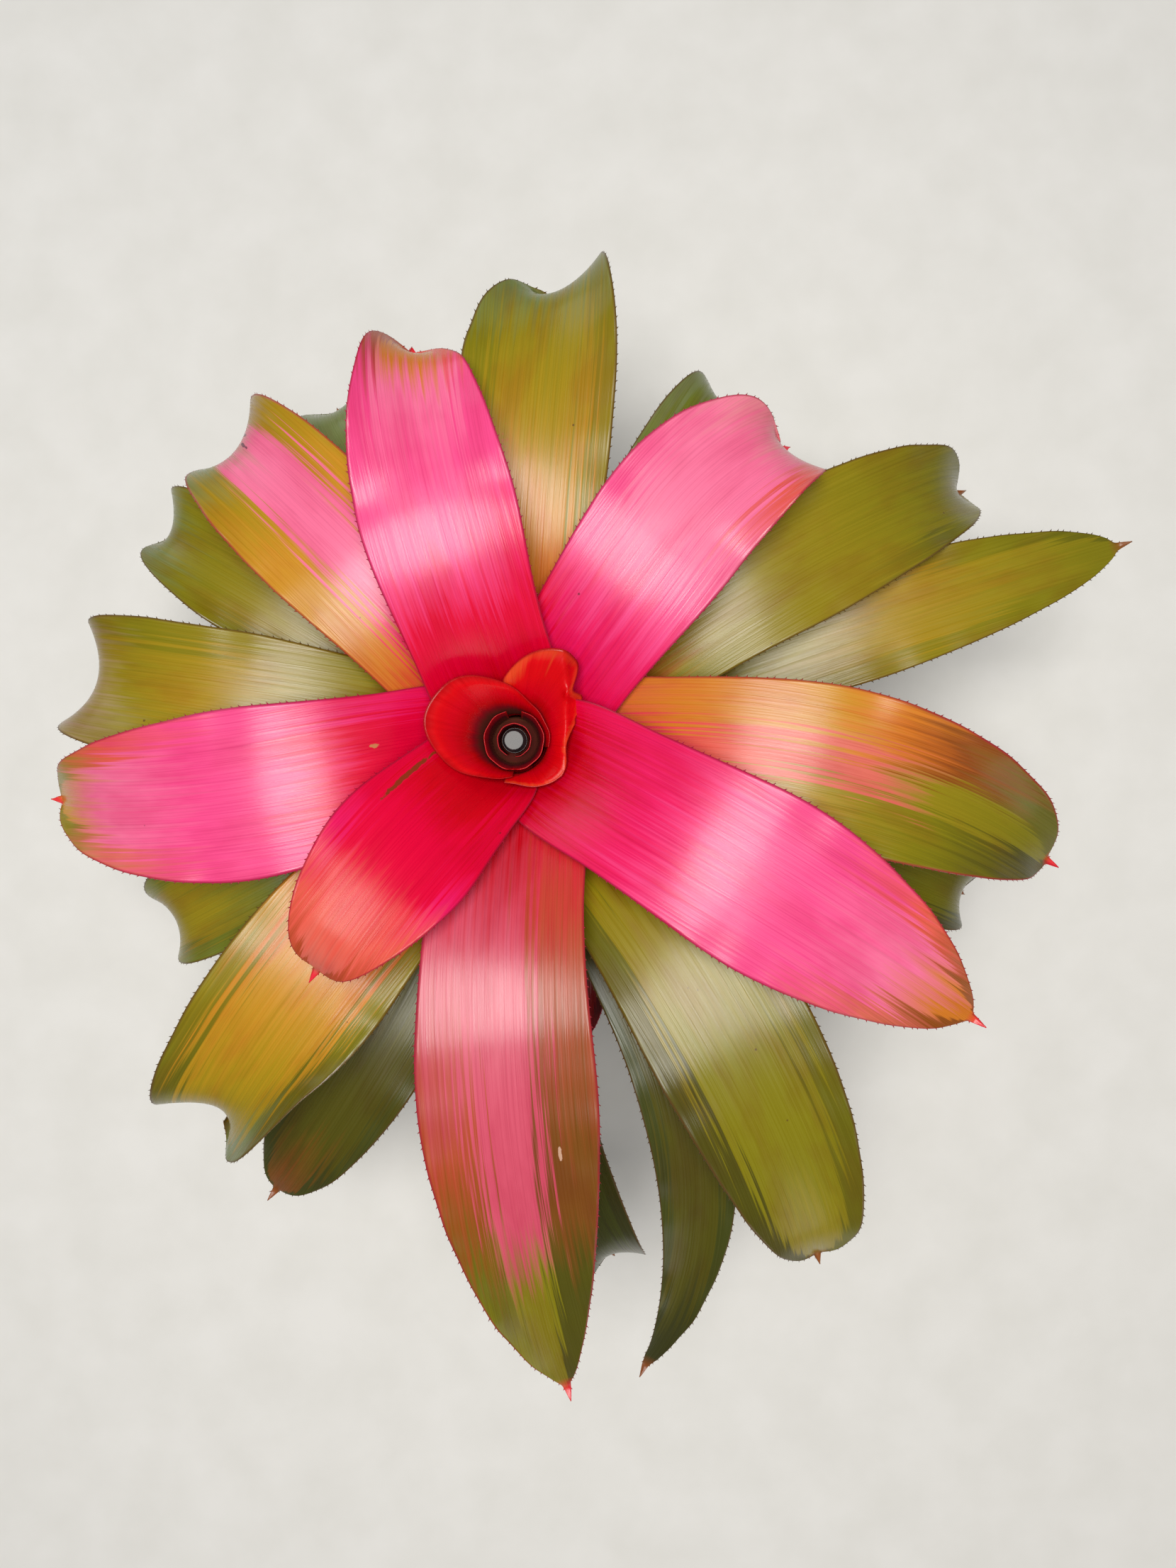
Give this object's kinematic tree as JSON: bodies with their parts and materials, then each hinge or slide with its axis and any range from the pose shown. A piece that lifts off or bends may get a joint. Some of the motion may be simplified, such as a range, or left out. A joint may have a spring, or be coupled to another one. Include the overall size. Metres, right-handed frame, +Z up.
{
  "type": "potted bromeliad",
  "caption": "Tank bromeliad rosette of pink and green strap leaves round a water-holding cup, with a side shoot, in a plain tapered nursery pot.",
  "frame": {"origin": "centre of the pot's flat base, on the surface it stands on", "axes": "+Z up along the pot and stem; +X towards the long pink leaf beside the cup's right leaf, +Y towards the broad green leaf at the back"},
  "size_m": [0.4981, 0.5147, 0.2474],
  "materials": {
    "pot": "satin",
    "soil": "matte",
    "stem": "matte",
    "pink_leaf": "satin",
    "green_leaf": "satin",
    "cup_leaf": "satin",
    "shoot_leaf": "satin",
    "water": "gloss"
  },
  "bodies": {
    "root": {"pot": "pot", "soil": "soil", "stem": "stem", "pink_leaf_1": "pink_leaf", "pink_leaf_2": "pink_leaf", "pink_leaf_3": "pink_leaf", "pink_leaf_4": "pink_leaf", "pink_leaf_5": "pink_leaf", "pink_leaf_6": "pink_leaf", "pink_leaf_7": "pink_leaf", "pink_leaf_8": "pink_leaf", "green_leaf_1": "green_leaf", "green_leaf_2": "green_leaf", "green_leaf_3": "green_leaf", "green_leaf_4": "green_leaf", "green_leaf_5": "green_leaf", "green_leaf_6": "green_leaf", "green_leaf_7": "green_leaf", "green_leaf_8": "green_leaf", "green_leaf_9": "green_leaf", "green_leaf_10": "green_leaf", "green_leaf_11": "green_leaf", "green_leaf_12": "green_leaf", "green_leaf_13": "green_leaf", "green_leaf_14": "green_leaf", "cup_leaf_left": "cup_leaf", "cup_leaf_right": "cup_leaf", "cup_leaf_front": "cup_leaf", "cup_leaf_inner": "cup_leaf", "cup_water": "water", "shoot_stem": "stem", "shoot_leaf_1": "shoot_leaf", "shoot_leaf_2": "shoot_leaf", "shoot_leaf_3": "shoot_leaf", "shoot_leaf_4": "shoot_leaf"}
  },
  "joints": []
}
